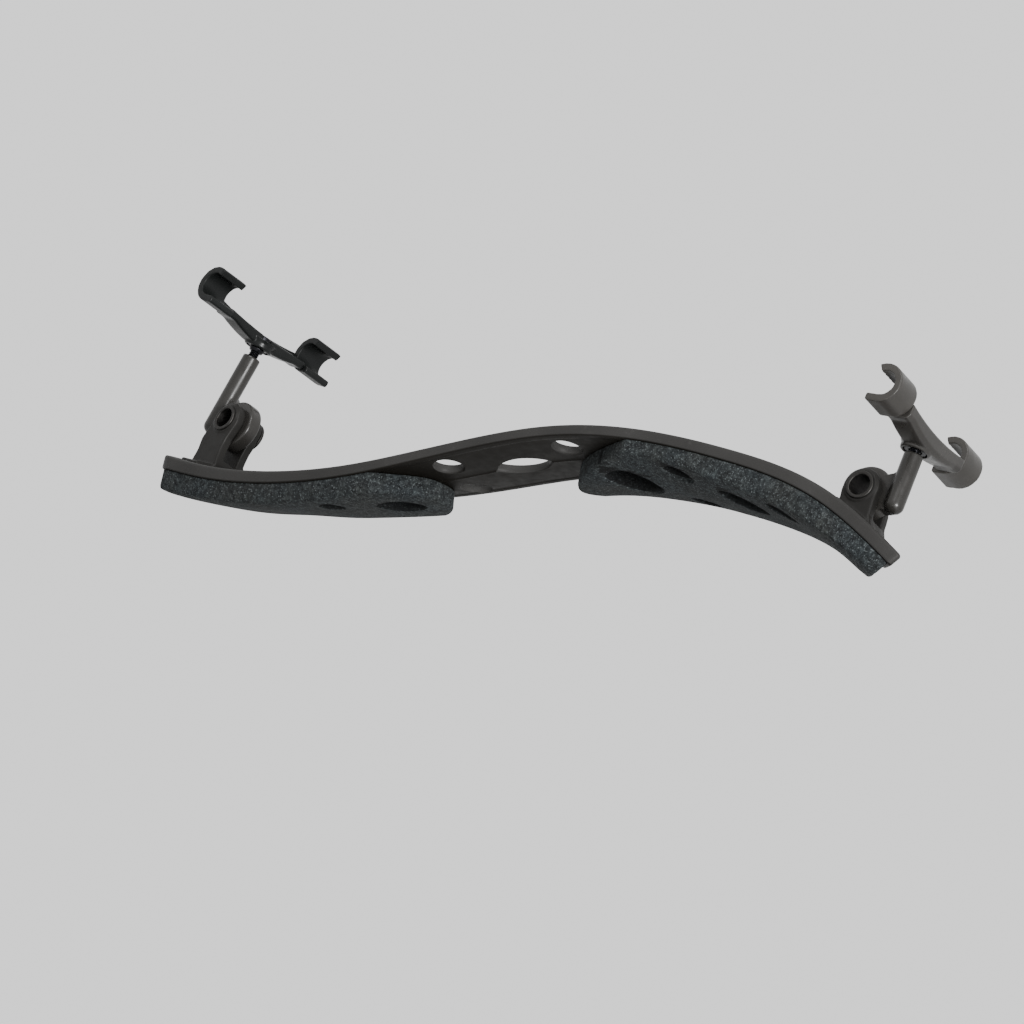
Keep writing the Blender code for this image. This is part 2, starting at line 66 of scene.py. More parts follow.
SLEEVE_R, SLEEVE_IN, FLANGE_R, FLANGE_T = 2.9, 2.45, 3.7, 0.6
SCREW_R, SCREW_HEAD_R, SCREW_HEAD_H, BOSS_BELOW = 1.25, 2.1, 1.3, 4.4
BAR_HALF, GRIP_L, GRIP_GAP = 13.2, 7.8, 0.3
HOOK_R, HOOK_IN, HOOK_C, YAW, FLANGE_REACH, SCREW_V = 4.6, 2.9, (0.2, 1.9), 8.0, 8.3, 6.6
SIDES = {
    "chest": dict(p=(-96.9, 1.1, -24.2), s=-1, lean=8.0, top=17.4, neck=2.4, bar=6.2, screw=15.0,
                  base=(-4.6, 4.2, -20.0), blean=8.0, slot=-9.6),
    "shoulder": dict(p=(94.3, 1.1, -16.5), s=1, lean=2.5, top=10.5, neck=0.6, bar=-6.5, screw=12.0,
                     base=(-4.6, 6.6, -15.5), blean=0.0, slot=-6.45),
}


def spline(st):
    xs = np.array([s[0] for s in st], float)
    ys = np.array([s[1] for s in st], float)
    n, h = len(xs), np.diff([s[0] for s in st])
    A, r = np.eye(n), np.zeros(n)
    for i in range(1, n - 1):
        A[i, i - 1], A[i, i], A[i, i + 1] = h[i - 1], 2 * (h[i - 1] + h[i]), h[i]
        r[i] = 6 * ((ys[i + 1] - ys[i]) / h[i] - (ys[i] - ys[i - 1]) / h[i - 1])
    M = np.linalg.solve(A, r)

    def f(x):
        i = int(np.clip(np.searchsorted(xs, x) - 1, 0, n - 2))
        a, b = xs[i + 1] - x, x - xs[i]
        return float((M[i] * a ** 3 + M[i + 1] * b ** 3) / (6 * h[i]) + (ys[i] / h[i] - M[i] * h[i] / 6) * a
                     + (ys[i + 1] / h[i] - M[i + 1] * h[i] / 6) * b)
    return f


Z_OF, TILT_OF, WIDTH_OF = spline(Z_STATIONS), spline(TILT_STATIONS), spline(WIDTH_STATIONS)
_frames = {}


def strip_frame(x):
    key = round(x, 4)
    if key not in _frames:
        def c(q):
            return np.array([q, Y_MID + SAGITTA * ((q - X_MID) / HALF_RUN) ** 2, Z_OF(q)])
        T = c(x + 0.5) - c(x - 0.5)
        T /= np.linalg.norm(T)
        k = np.array([-T[1], T[0], 0.0])
        k /= np.linalg.norm(k)
        up = np.cross(T, k)
        t = math.radians(TILT_OF(x))
        k2 = k * math.cos(t) + up * math.sin(t)
        n = np.cross(T, k2)
        _frames[key] = (c(x), k2, n / np.linalg.norm(n), WIDTH_OF(x))
    return _frames[key]


def strip(x, v, w):
    C, k, n, W = strip_frame(x)
    return C + k * (v * W / 2) + n * (w - CROWN * (1 - v * v))


def rounded(v, corner, half=HALF):
    q = max(0.0, abs(v) * half - (half - corner)) / corner
    return corner * (1 - math.sqrt(max(0.0, 1 - min(q, 1.0) ** 2)))


def end_hi(v, inset=0.0):
    return X_SHOULDER - inset - END_SLANT * (v + 1) * HALF - rounded(v, FAR_CORNER if v > 0 else NEAR_CORNER)


def end_lo(v, inset=0.0):
    return X_CHEST + inset + CHEST_SLANT * (v + 1) * HALF + rounded(v, CHEST_CORNER)


def rim_height(x):
    return RIM_MID + (RIM_END - RIM_MID) * min(1.0, abs(x - X_MID) / 100) ** 1.5


def fillet(d, r):
    """How far a surface draws back at distance d from an edge rounded to radius r."""
    return 0.0 if d >= r else r - math.sqrt(max(0.0, r * r - (r - d) ** 2))


def step(a, b, t):
    q = min(1.0, max(0.0, (t - a) / (b - a)))
    return q * q * (3 - 2 * q)


# ---- materials -----------------------------------------------------------------------
class Mat:
    """A small helper around one procedural material."""

    def __init__(self, name):
        self.m = bpy.data.materials.new(name)
        self.m.use_nodes = True
        self.t = self.m.node_tree
        self.b = self.t.nodes["Principled BSDF"]
        tc = self.t.nodes.new("ShaderNodeTexCoord")
        self.co = tc.outputs["Object"]
        self.facing = tc.outputs["Normal"]

    def noise(self, scale, detail=2.0, rough=0.5, stretch=None):
        n = self.t.nodes.new("ShaderNodeTexNoise")
        n.inputs["Scale"].default_value = scale
        n.inputs["Detail"].default_value = detail
        n.inputs["Roughness"].default_value = rough
        src = self.co
        if stretch:
            mp = self.t.nodes.new("ShaderNodeMapping")
            mp.inputs["Scale"].default_value = stretch
            self.t.links.new(src, mp.inputs["Vector"])
            src = mp.outputs["Vector"]
        self.t.links.new(src, n.inputs["Vector"])
        return n.outputs["Fac"]

    def cells(self, scale, feature="F1"):
        n = self.t.nodes.new("ShaderNodeTexVoronoi")
        n.feature = feature
        n.inputs["Scale"].default_value = scale
        self.t.links.new(self.co, n.inputs["Vector"])
        return n.outputs["Distance"]

    def ramp(self, fac, stops):
        n = self.t.nodes.new("ShaderNodeValToRGB")
        el = n.color_ramp.elements
        el[0].position, el[0].color = stops[0][0], (*stops[0][1], 1)
        el[1].position, el[1].color = stops[-1][0], (*stops[-1][1], 1)
        for p, c in stops[1:-1]:
            e = el.new(p)
            e.color = (*c, 1)
        self.t.links.new(fac, n.inputs["Fac"])
        return n.outputs["Color"]

    def mix(self, fac, a, b, mode='MIX'):
        n = self.t.nodes.new("ShaderNodeMix")
        n.data_type = 'RGBA'
        n.blend_type = mode
        self.t.links.new(fac, n.inputs["Factor"])
        for s, sock in ((a, n.inputs["A"]), (b, n.inputs["B"])):
            self.t.links.new(s, sock)
        return n.outputs["Result"]

    def range(self, fac, lo, hi, a=0.0, b=1.0):
        n = self.t.nodes.new("ShaderNodeMapRange")
        n.inputs["From Min"].default_value = a
        n.inputs["From Max"].default_value = b
        n.inputs["To Min"].default_value = lo
        n.inputs["To Max"].default_value = hi
        self.t.links.new(fac, n.inputs["Value"])
        return n.outputs["Result"]

    def bump(self, fac, strength, dist, prev=None):
        n = self.t.nodes.new("ShaderNodeBump")
        n.inputs["Strength"].default_value = strength
        n.inputs["Distance"].default_value = dist
        self.t.links.new(fac, n.inputs["Height"])
        if prev is not None:
            self.t.links.new(prev, n.inputs["Normal"])
        return n.outputs["Normal"]

    def out(self, colour=None, rough=None, normal=None, **const):
        for sock, s in (("Base Color", colour), ("Roughness", rough), ("Normal", normal)):
            if s is not None:
                self.t.links.new(s, self.b.inputs[sock])
        for k, v in const.items():
            self.b.inputs[k.replace("_", " ")].default_value = v
        return self.m


def shade(c, k):
    return tuple(min(1.0, x * k) for x in c)


def plastic(name, c, rough, spec=0.4, grain=0.5, worn=1.6, painted_shade_down=None):
    """Moulded plastic: fine spark-eroded grain, slow tone changes, faint scuffs along the piece, and, if a shade
    colour is given, painted shade on the faces that look down.
    """
    m = Mat(name)
    slow = m.ramp(m.noise(55, 3), [(0.3, shade(c, 0.86)), (0.7, shade(c, 1.14))])
    speck = m.noise(5200, 2, 0.6)
    tone = m.ramp(speck, [(0.35, (0.80, 0.80, 0.80)), (0.68, (1.0, 1.0, 1.0))])
    base = m.mix(m.range(speck, 0.55, 0.55), slow, tone, 'MULTIPLY')
    scuff = m.range(m.noise(230, 4, 0.65, (1.0, 0.35, 1.0)), 0.0, 0.5, 0.62, 0.78)
    col = m.mix(scuff, base, m.ramp(speck, [(0.2, shade(c, worn)), (0.8, shade(c, worn * 1.15))]))
    if painted_shade_down:                     # painted shade: faces that look down are multiplied by a darker, browner colour
        split = m.t.nodes.new("ShaderNodeSeparateXYZ")
        m.t.links.new(m.facing, split.inputs["Vector"])
        down = m.range(split.outputs["Z"], 0.0, 1.0, -0.86, -0.5)
        col = m.mix(m.range(speck, 1.0, 1.0), col, m.ramp(down, [(0.0, painted_shade_down), (1.0, (1.0, 1.0, 1.0))]), 'MULTIPLY')
    r1 = m.range(m.noise(420, 3), rough - 0.06, rough + 0.08, 0.3, 0.7)
    nb = m.bump(speck, 0.22 * grain, 0.00006)
    nb = m.bump(m.noise(900, 2), 0.12 * grain, 0.0002, nb)
    return m.out(col, r1, nb, Specular_IOR_Level=spec)


def rubber(name, c, rough, spec=0.3):
    m = Mat(name)
    slow = m.ramp(m.noise(80, 3), [(0.3, shade(c, 0.85)), (0.72, shade(c, 1.18))])
    fine = m.noise(6500, 1, 0.5)
    dust = m.range(m.noise(700, 5, 0.75), 0.0, 0.35, 0.6, 0.8)
    col = m.mix(dust, slow, m.ramp(fine, [(0.2, shade(c, 1.5)), (0.8, shade(c, 2.0))]))
    r = m.range(m.noise(260, 3), rough - 0.07, rough + 0.07, 0.3, 0.7)
    nb = m.bump(fine, 0.16, 0.00008)
    return m.out(col, r, nb, Specular_IOR_Level=spec)


def foam(name, g=1.0):
    """Dense cellular foam: dark blue-grey cells with paler specks of two sizes; g below 1 gives a darker copy for
    painted shade.
    """
    m = Mat(name)
    body = m.ramp(m.noise(900, 3, 0.6), [(0.34, shade((0.0040, 0.0045, 0.0048), g)), (0.52, shade((0.0105, 0.0118, 0.0124), g)),
                                         (0.70, shade((0.0230, 0.0258, 0.0265), g))])
    warm = m.ramp(m.noise(120, 2), [(0.35, (0.90, 0.97, 1.0)), (0.65, (1.0, 0.97, 0.90))])
    one = m.noise(2600, 2, 0.7)
    body = m.mix(m.range(one, 0.9, 0.9), body, warm, 'MULTIPLY')
    speck = m.range(one, 0.0, 0.60, 0.56, 0.70)
    pale = m.ramp(m.noise(1700, 1), [(0.3, shade((0.050, 0.058, 0.060), g)), (0.7, shade((0.115, 0.128, 0.130), g))])
    col = m.mix(speck, body, pale)
    holes = m.range(m.cells(2100), 1.0, 0.0, 0.0, 0.34)
    col = m.mix(m.range(holes, 0.0, 0.7), col, m.ramp(one, [(0.0, (0.004, 0.005, 0.006)), (1.0, (0.006, 0.007, 0.008))]))
    nb = m.bump(m.cells(2100), 0.55, 0.00022)
    nb = m.bump(one, 0.35, 0.00018, nb)
    return m.out(col, m.range(m.noise(1500, 1), 0.88, 1.0), nb, Specular_IOR_Level=0.12)


def metal(name, c, rough, turned=900.0):
    m = Mat(name)
    col = m.ramp(m.noise(300, 4, 0.6), [(0.3, shade(c, 0.82)), (0.7, shade(c, 1.12))])
    r = m.range(m.noise(1800, 3), rough - 0.08, rough + 0.12, 0.3, 0.7)
    nb = m.bump(m.noise(turned, 2, 0.5, (1.0, 1.0, 6.0)), 0.12, 0.00004)
    return m.out(col, r, nb, Metallic=1.0)


# the base gets painted shade, darker and browner, on the faces that look down
M_BASE = plastic("base_moulded", (0.0215, 0.0210, 0.0203), 0.46, 0.05, painted_shade_down=(0.22, 0.20, 0.17))
M_BRACKET = plastic("bracket_moulded", (0.0088, 0.0084, 0.0078), 0.46, 0.10, 0.8)
M_LEG = plastic("leg_moulded", (0.0135, 0.0127, 0.0116), 0.30, 0.26, 0.6)
# one plastic and one rubber on both feet: the chest copies are coloured darker as painted shade, the shoulder copies
# lighter as painted light
M_FOOT_CHEST_SHADE = plastic("foot_chest_painted_shade", (0.0046, 0.0051, 0.0050), 0.32, 0.13, 0.6)
M_FOOT_SHOULDER_LIT = plastic("foot_shoulder_painted_light", (0.0165, 0.0154, 0.0140), 0.32, 0.28, 0.6)
M_GRIP_CHEST_SHADE = rubber("grip_chest_rubber_painted_shade", (0.0046, 0.0051, 0.0050), 0.40, 0.13)
M_GRIP_SHOULDER_LIT = rubber("grip_shoulder_rubber_painted_light", (0.0200, 0.0187, 0.0170), 0.38, 0.24)
M_FOAM = foam("cellular_foam")
# a darker copy of the same foam, used as painted shade inside the pad holes
M_FOAM_PAINTED_SHADE = foam("cellular_foam_painted_shade", 0.22)
M_SLEEVE = metal("blackened_sleeve", (0.030, 0.0288, 0.0275), 0.48)
M_SCREW = metal("black_oxide", (0.016, 0.016, 0.018), 0.36)
M_ZINC = metal("zinc_plate", (0.52, 0.52, 0.50), 0.34)


# ---- mesh helpers ---------------------------------------------------------------------
def obj(name, bm, smooth=38.0):
    bmesh.ops.recalc_face_normals(bm, faces=bm.faces[:])
    me = bpy.data.meshes.new(name)
    bm.to_mesh(me)
    bm.free()
    me.shade_smooth()
    if smooth:
        me.set_sharp_from_angle(angle=math.radians(smooth))
    ob = bpy.data.objects.new(name, me)
    COL.objects.link(ob)
    return ob


def bake(ob, smooth=38.0):
    """Replace the mesh by what its modifiers make of it."""
    bpy.context.view_layer.update()
    ev = ob.evaluated_get(bpy.context.evaluated_depsgraph_get())
    me = bpy.data.meshes.new_from_object(ev)
    ob.modifiers.clear()
    old = ob.data
    ob.data = me
    bpy.data.meshes.remove(old)
    me.shade_smooth()
    if smooth:
        me.set_sharp_from_angle(angle=math.radians(smooth))
    return ob


def drop(*obs):
    for o in obs:
        me = o.data
        bpy.data.objects.remove(o)
        bpy.data.meshes.remove(me)


def cut(ob, *cutters, op='DIFFERENCE', smooth=38.0):
    for c in cutters:
        m = ob.modifiers.new("b", 'BOOLEAN')
        m.operation, m.solver, m.object = op, 'EXACT', c
    bake(ob, smooth)
    drop(*cutters)
    return ob


def bevel(ob, width, segs=3, angle=30.0):
    m = ob.modifiers.new("bevel", 'BEVEL')
    m.width, m.segments, m.limit_method = width * MM, segs, 'ANGLE'
    m.angle_limit = math.radians(angle)
    m.use_clamp_overlap = True
    return bake(ob)


def join(name, *obs):
    bm = bmesh.new()
    for o in obs:
        bm.from_mesh(o.data)
    drop(*obs)
    return obj(name, bm)


def mould(ob, voxel=0.2, rounds=6, factor=0.5):
    """Melt overlapping solids into one skin with soft moulded fillets."""
    r = ob.modifiers.new("voxel", 'REMESH')
    r.mode, r.voxel_size, r.adaptivity = 'VOXEL', voxel * MM, 0.0
    bake(ob, None)
    s = ob.modifiers.new("soft", 'SMOOTH')
    s.factor, s.iterations = factor, rounds
    return bake(ob, None)


def grid_solid(name, rows_low, rows_high, smooth=38.0):
    """Closed solid between two equally sized grids of design points."""
    bm = bmesh.new()
    L = [[bm.verts.new(Vector(p) * MM) for p in r] for r in rows_low]
    H = [[bm.verts.new(Vector(p) * MM) for p in r] for r in rows_high]
    nu, nv = len(L), len(L[0])
    for i in range(nu - 1):
        for j in range(nv - 1):
            bm.faces.new((L[i][j], L[i][j + 1], L[i + 1][j + 1], L[i + 1][j]))
            bm.faces.new((H[i][j], H[i + 1][j], H[i + 1][j + 1], H[i][j + 1]))
        for j in (0, nv - 1):
            bm.faces.new((L[i][j], L[i + 1][j], H[i + 1][j], H[i][j]))
    for i in (0, nu - 1):
        for j in range(nv - 1):
            bm.faces.new((L[i][j], H[i][j], H[i][j + 1], L[i][j + 1]))
    return obj(name, bm, smooth)


def prism(name, pts, y0, y1, M):
    """Outline in the local XZ plane, extruded along local Y."""
    bm = bmesh.new()
    a = [bm.verts.new(M @ (Vector((p[0], y0, p[1])) * MM)) for p in pts]
    b = [bm.verts.new(M @ (Vector((p[0], y1, p[1])) * MM)) for p in pts]
    bm.faces.new(a)
    bm.faces.new(b)
    for i in range(len(pts)):
        j = (i + 1) % len(pts)
        bm.faces.new((a[i], a[j], b[j], b[i]))
    return obj(name, bm)


def turned(name, prof, M, n=64, axis='Z', smooth=38.0):
    bm = bmesh.new()
    rings = []
    for r, h in prof:
        k = 1 if r <= 1e-9 else n
        ring = []
        for i in range(k):
            t = 2 * math.pi * i / n
            x, y = r * math.cos(t), r * math.sin(t)
            p = Vector((x, y, h)) if axis == 'Z' else Vector((x, h, y))
            ring.append(bm.verts.new(M @ (p * MM)))
        rings.append(ring)

    def bridge(A, B):
        for i in range(n):
            j = (i + 1) % n
            if len(A) == 1 and len(B) > 1:
                bm.faces.new((A[0], B[i], B[j]))
            elif len(B) == 1 and len(A) > 1:
                bm.faces.new((A[i], A[j], B[0]))
            elif len(A) > 1:
                bm.faces.new((A[i], A[j], B[j], B[i]))
    for A, B in zip(rings, rings[1:]):
        bridge(A, B)
    if len(rings[0]) > 1 and len(rings[-1]) > 1:
        bridge(rings[-1], rings[0])
    return obj(name, bm, smooth)


def soft_prof(prof, r, n=4, closed=False):
    """Round a turned profile's inner corners to radius r."""
    out = []
    m = len(prof)
    for i, p in enumerate(prof):
        if not closed and (i == 0 or i == m - 1):
            out.append(p)
            continue
        a, b = prof[i - 1], prof[(i + 1) % m]
        pa, pb = np.subtract(a, p), np.subtract(b, p)
        la, lb = np.linalg.norm(pa), np.linalg.norm(pb)
        q = min(r, 0.45 * la, 0.45 * lb)
        s, e = np.array(p) + pa / la * q, np.array(p) + pb / lb * q
        for k in range(n + 1):
            t = k / n
            c = (1 - t) ** 2 * s + 2 * t * (1 - t) * np.array(p) + t * t * e
            out.append((float(c[0]), float(c[1])))
    return out


def rod(name, r, h0, h1, M, n=48, axis='Z'):
    return turned(name, [(0, h0), (r, h0), (r, h1), (0, h1)], M, n, axis)


def arc(cx, cy, r, a0, a1, n):
    return [(cx + r * math.cos(math.radians(a0 + (a1 - a0) * i / n)),
             cy + r * math.sin(math.radians(a0 + (a1 - a0) * i / n))) for i in range(n + 1)]


def surface_matrix(x, v_mm, w=0.0):
    C, k, n, W = strip_frame(x)
    p = Vector(strip(x, v_mm / (W / 2), w)) * MM
    t = np.cross(k, n)
    return Matrix(((t[0], k[0], n[0], p.x), (t[1], k[1], n[1], p.y), (t[2], k[2], n[2], p.z), (0, 0, 0, 1)))


def flared(name, outline, M, levels, turn=0.0):
    """Cutter: convex outline in local XY, lofted through (z, how far it is grown) levels."""
    n = len(outline)
    pts = [Vector(p).to_2d() if len(p) > 2 else Vector(p) for p in outline]
    nrm = []
    for i in range(n):
        d = pts[(i + 1) % n] - pts[i - 1]
        q = Vector((d.y, -d.x))
        q.normalize()
        if q.dot(pts[i]) < 0:
            q = -q
        nrm.append(q)
    R = M @ Matrix.Rotation(math.radians(turn), 4, 'Z')
    bm = bmesh.new()
    rings = [[bm.verts.new(R @ Vector(((p.x + q.x * e) * MM, (p.y + q.y * e) * MM, z * MM))) for p, q in zip(pts, nrm)]
             for z, e in levels]
    for A, B in zip(rings, rings[1:]):
        for i in range(n):
            j = (i + 1) % n
            bm.faces.new((A[i], A[j], B[j], B[i]))
    bm.faces.new(rings[0])
    bm.faces.new(rings[-1])
    return obj(name, bm)


def leaf(length, width, n=18):
    a, b = length / 2, width / 2
    R = (a * a + b * b) / (2 * b)
    h = math.degrees(math.asin(a / R))
    return arc(0, b - R, R, 90 + h, 90 - h, n)[:-1] + arc(0, R - b, R, -90 + h, -90 - h, n)[:-1]


def oval(length, width, point=0.0, n=40):
    """Oval, drawn out to a point at both ends by 'point' (0 to 1)."""
    out = []
    for i in range(n):
        t = 2 * math.pi * i / n
        s = math.sin(t)
        out.append((length / 2 * math.cos(t), width / 2 * s * (1 - point * (1 - abs(s)))))
    return out


def place(ob, body, nodes, mat, moved=True):
    """Into the row frame, onto its body, in place of its CAD nodes, with its material."""
    if moved:
        ob.data.transform(SHIFT)
    ob.data.materials.clear()
    ob.data.materials.append(mat)
    ob.data.polygons.foreach_set("material_index", [0] * len(ob.data.polygons))
    ob.data.update()
    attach(ob, body)
    if nodes:
        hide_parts(*nodes)
    return ob


# ---- base plate -------------------------------------------------------------------------
LENGTH = 213.0
EDGE = [0, 0.015, 0.05, 0.12, 0.24, 0.40, 0.62, 0.9, 1.35, 1.75, 1.9, 2.0, 2.08, 2.2, 2.36, 2.6]


def lines(edge, middle_step, total):
    inner = edge[-1]
    k = max(2, int(round((total - 2 * inner) / middle_step)))
    return edge + [inner + (total - 2 * inner) * i / k for i in range(1, k)] + [total - d for d in reversed(edge)]


us = [d / LENGTH for d in lines(EDGE, 0.95, LENGTH)]
vmm = sorted(set([round(d - HALF, 5) for d in lines(EDGE, 0.85, 2 * HALF)] + [-0.6, -0.38, -0.24, -0.12, 0.0, 0.12, 0.24, 0.38, 0.6]))
vs = [y / HALF for y in vmm]


def base_levels(x, v, u):
    d = min(min(u, 1 - u) * LENGTH, (1 - abs(v)) * HALF)
    c = CROWN * (1 - v * v)
    y = v * HALF
    # underside: rounded edge, a shallow lip behind it and a fine keel along the middle
    low = fillet(d, 0.5) + 0.22 * (1 - step(1.5, 2.0, d)) * 0 - 0.26 * math.exp(-(y / 0.26) ** 2) * step(3.0, 6.0, d)
    low += 0.18 * step(1.6, 2.1, d)
    rim = rim_height(x) + c - fillet(d, 0.75)
    web = WEB + 0.35 * c
    t = step(1.9, 2.36, d)
    high = rim * (1 - t) + web * t - 0.12 * (step(1.5, 1.95, d) * (1 - t))
    return low, high


low_rows, high_rows = [], []
for u in us:
    rl, rh = [], []
    for v in vs:
        a, b = end_lo(v), end_hi(v)
        x = a + u * (b - a)
        lo, hi = base_levels(x, v, u)
        rl.append(strip(x, v, lo))
        rh.append(strip(x, v, hi))
    low_rows.append(rl)
    high_rows.append(rh)
base = grid_solid("base_shell", low_rows, high_rows, 50)
LV = [(-4, 0.42), (0.0, 0.42), (0.18, 0.24), (0.5, 0.0), (1.75, 0.0), (2.1, 0.16), (2.35, 0.42), (7, 0.42)]
cutters = [flared("leaf_cut", leaf(15.0, 7.6), surface_matrix(3.0, 0.0), LV)]
for i, (hx, hv) in enumerate([(-12.9, -6.6), (18.4, -6.2), (-15.5, 7.8)]):
    cutters.append(flared("round_cut_%d" % i, arc(0, 0, 3.5, 0, 352.5, 47), surface_matrix(hx, hv), LV))
for side, sd in SIDES.items():
    px = sd["p"][0]
    vm = (sd["p"][1] - strip_frame(px)[0][1]) / HALF
    for i, dv in enumerate((-SCREW_V, SCREW_V)):
        cutters.append(turned("c", [(0, -3), (2.2, -3), (2.2, 0.1), (1.9, 0.35), (1.9, 1.0), (1.15, 1.0), (1.15, 9), (0, 9)],
                              surface_matrix(px, vm * HALF + dv), 40))
cut(base, *cutters, smooth=40)
place(base, "base", ["base_plate"], M_BASE)

# painted shade: the faces marked inside the pad holes get the darker foam copy
def paint_hole_shade(ob):
    ob.data.materials.append(M_FOAM_PAINTED_SHADE)
    ob.data.polygons.foreach_set("material_index", list(ob.data["dark"]))
    del ob.data["dark"]
    del ob["dark_faces"]
    ob.data.update()


# ---- foam pads ---------------------------------------------------------------------------
PAD_EDGE = [0, 0.02, 0.07, 0.16, 0.3, 0.5, 0.75, 1.05, 1.4, 1.9]
GAP = 0.10                                     # the pads are glued on; this is the glue line
chest_line = spline([(-1.0, -31.4), (-0.94, -30.4), (-0.63, -25.2), (-0.41, -21.9), (0.14, -19.8), (0.6, -19.9), (1.0, -20.0)])
shoulder_line = spline([(-1.0, 38.8), (-0.95, 37.8), (-0.46, 27.3), (0.13, 17.4), (0.47, 14.4), (1.0, 12.2)])


def pad_in(line, nose, v, sign):
    """Inner end of a pad: a line across the strip that turns back round a nose on the far side."""
    q = min(1.0, max(0.0, (v - nose[0]) / (1 - nose[0])))
    return line(v) - sign * nose[1] * (1 - math.sqrt(1 - q * q)) - (sign * rounded(v, 1.5) if v < 0 else 0.0)


near_t = spline([(9, 4.2), (30, 3.5), (45, 3.6), (58, 4.0), (70, 4.9), (85, 5.2), (100, 4.75), (116, 3.7)])


def chest_t(x, v):
    return CHEST_PAD_T + 0.25 * (1 - step(-0.9, 0.2, v)) + 0.12 * math.sin(x * 0.21) * math.sin(v * 2.1 + 0.4)


def shoulder_t(x, v):
    far = SHOULDER_PAD_T + (SHOULDER_PAD_TIP - SHOULDER_PAD_T) * min(1.0, max(0.0, (x - 60) / 55))
    k = step(-1.0, 0.15, v)
    return near_t(x) * (1 - k) + far * k + 0.10 * math.sin(x * 0.19) * math.sin(v * 2.1 + 0.4)


def pad(name, x_lo, x_hi, thick, n_len, r, inset, body_holes):
    y0 = HALF - inset
    vv = [(d - y0) / HALF for d in lines(PAD_EDGE, 0.8, 2 * y0)]
    total = abs(x_hi(0) - x_lo(0))
    uu = [d / total for d in lines(PAD_EDGE, 0.9, total)]
    lo_r, hi_r = [], []
    for u in uu:
        rl, rh = [], []
        for v in vv:
            a, b = x_lo(v), x_hi(v)
            x = a + u * (b - a)
            d = min(min(u, 1 - u) * total, y0 - abs(v) * HALF)
            rl.append(strip(x, v, -GAP - thick(x, v) + fillet(d, r) + 0.25 * (1 - step(0, 4.0, d))))
            rh.append(strip(x, v, -GAP))
        lo_r.append(rl)
        hi_r.append(rh)
    p = grid_solid(name, lo_r, hi_r, 60)
    cs = []
    for i, (x, y, L, W, turn, pt, t) in enumerate(body_holes):
        M = surface_matrix(x, y, -GAP - t)
        cs.append(flared("hole_%d" % i, oval(L, W, pt), M,
                         [(-4, 0.75), (-0.1, 0.62), (0.12, 0.36), (0.4, 0.14), (0.85, 0.0), (t - 0.7, -0.25), (t + 0.6, -0.25)], turn))
    cut(p, *cs, smooth=60)
    # painted shade: the walls inside the holes, out of the light, take a darker copy of the foam
    Ms = [(surface_matrix(x, y, -GAP - t) @ Matrix.Rotation(math.radians(turn), 4, 'Z')).inverted() for x, y, L, W, turn, pt, t in body_holes]
    dark = []
    for f in p.data.polygons:
        k = 0
        for Mi, (x, y, L, W, turn, pt, t) in zip(Ms, body_holes):
            q = Mi @ f.center / MM
            if 0.25 < q.z < t - 0.02 and abs(q.x) < L / 2 + 0.5 and abs(q.y) < W / 2 + 0.5:
                k = 1
        dark.append(k)
    p["dark_faces"] = 1
    p.data["dark"] = dark
    return p


chest_pad = pad("chest_pad_foam", lambda v: end_lo(v, 0.9), lambda v: pad_in(chest_line, (0.15, 12.0), v, 1),
                chest_t, 90, 1.0, 0.45,
                [(-46.0, -6.3, 6.4, 4.6, 14, 0.35, 4.7), (-30.0, -0.6, 11.6, 7.6, 24, 0.45, 4.6)])
place(chest_pad, "base", ["chest_pad"], M_FOAM)
paint_hole_shade(chest_pad)
shoulder_pad = pad("shoulder_pad_foam", lambda v: pad_in(shoulder_line, (0.45, 12.0), v, -1), lambda v: end_hi(v, 0.9),
                   shoulder_t, 100, 0.9, 0.45,
                   [(34.6, 0.4, 14.2, 10.6, 10, 0.35, 4.9), (52.2, -7.9, 7.4, 4.8, 10, 0.35, 3.9),
                    (68.6, -3.0, 12.4, 6.8, 22, 0.4, 5.1), (82.6, -6.9, 8.6, 4.6, 16, 0.4, 5.0),
                    (51.6, 6.6, 7.0, 3.4, 8, 0.4, 5.2)])
place(shoulder_pad, "base", ["shoulder_pad"], M_FOAM)
paint_hole_shade(shoulder_pad)


# ---- brackets, legs, feet -----------------------------------------------------------------
def side_matrix(sd, lean):
    s = sd["s"]
    y = math.radians(YAW)
    o0 = Vector((s * math.cos(y), math.sin(y), 0))
    z = Vector((0, 0, 1))
    l = math.radians(lean)
    u = z * math.cos(l) - o0 * math.sin(l)
    o = o0 * math.cos(l) + z * math.sin(l)
    a = u.cross(o)
    p = Vector(sd["p"]) * MM
    return Matrix(((o.x, a.x, u.x, p.x), (o.y, a.y, u.y, p.y), (o.z, a.z, u.z, p.z), (0, 0, 0, 1)))


def slab(name, xr, vr, w0, w1, nx, nv):
    xs = [xr[0] + (xr[1] - xr[0]) * i / nx for i in range(nx + 1)]
    ws = [vr[0] + (vr[1] - vr[0]) * j / nv for j in range(nv + 1)]
    def g(w):
        return [[strip(x, v, w + CROWN * (1 - v * v) * 0.35) for v in ws] for x in xs]
    return grid_solid(name, g(w0), g(w1))


def threaded(name, r, z0, z1, M, pitch=0.45, depth=0.17, n=36):
    """Rod with a single-start thread cut in its skin."""
    bm = bmesh.new()
    rows = []
    m = max(8, int((z1 - z0) / (pitch / 7)))
    for i in range(m + 1):
        z = z0 + (z1 - z0) * i / m
        row = []
        for k in range(n):
            a = 2 * math.pi * k / n
            ph = (z / pitch - k / n) % 1.0
            g = abs(ph - 0.5) * 2
            taper = min(1.0, (z - z0) / 0.5 + 0.25)
            q = (r - depth * (1 - g)) * (0.82 + 0.18 * taper)
            row.append(bm.verts.new(M @ (Vector((q * math.cos(a), q * math.sin(a), z)) * MM)))
        rows.append(row)
    for A, B in zip(rows, rows[1:]):
        for k in range(n):
            j = (k + 1) % n
            bm.faces.new((A[k], A[j], B[j], B[k]))
    bm.faces.new(rows[0])
    bm.faces.new(rows[-1])
    return obj(name, bm, 50)


